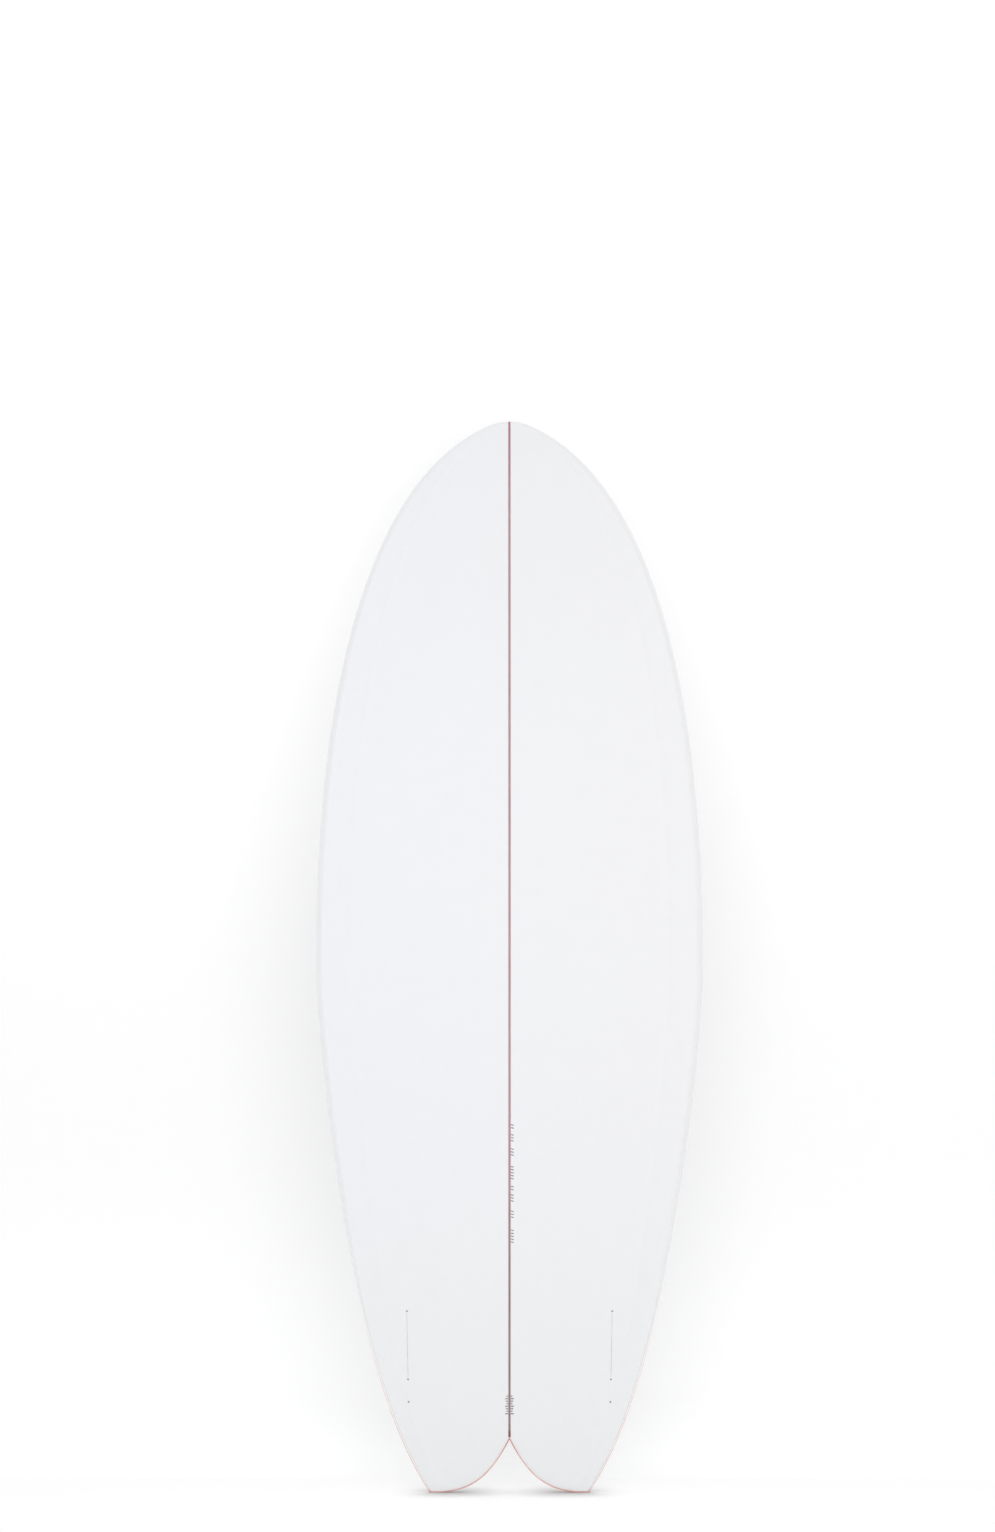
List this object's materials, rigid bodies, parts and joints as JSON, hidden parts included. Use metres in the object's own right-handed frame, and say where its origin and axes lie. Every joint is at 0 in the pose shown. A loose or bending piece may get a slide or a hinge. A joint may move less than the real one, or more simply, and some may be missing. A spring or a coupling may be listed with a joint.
{
  "type": "swallow-tail fish surfboard",
  "caption": "Short, wide swallow-tail surfboard with a foam core split by a wood stringer, clear glass skins, hard tail edge and a leash plug.",
  "frame": {"origin": "centre of the bounding box in X and Y, level with the tail tips, on the board's centre plane", "axes": "+Z from the tail tips to the nose, +Y from the bottom to the deck, +X to the right when facing the bottom"},
  "size_m": [0.5468, 0.1042, 1.524],
  "materials": {
    "foam": "closed-cell polyurethane foam, sanded, very fine pores",
    "stringer_wood": "planed basswood edge grain under clear resin",
    "tinted_glue": "dusty red tinted glue line",
    "glass_cloth": "clear resin with fine woven glass cloth",
    "finish_coat": "clear filler coat, fine-sanded to satin",
    "tinted_resin": "dusty red tinted resin edge",
    "plug_plastic": "satin white moulded plastic",
    "plug_steel": "drawn stainless bar"
  },
  "bodies": {
    "root": {"foam_core_left": "foam", "foam_core_right": "foam", "stringer": "stringer_wood", "glue_line_left": "tinted_glue", "glue_line_right": "tinted_glue", "bottom_laminate": "glass_cloth", "deck_laminate_inner": "glass_cloth", "deck_laminate_outer": "glass_cloth", "bottom_finish_coat": "finish_coat", "deck_finish_coat": "finish_coat", "tail_wall_wrap": "glass_cloth", "tail_edge_bead_left": "tinted_resin", "tail_edge_bead_right": "tinted_resin", "leash_plug_cup": "plug_plastic", "leash_plug_bar": "plug_steel"}
  },
  "joints": []
}
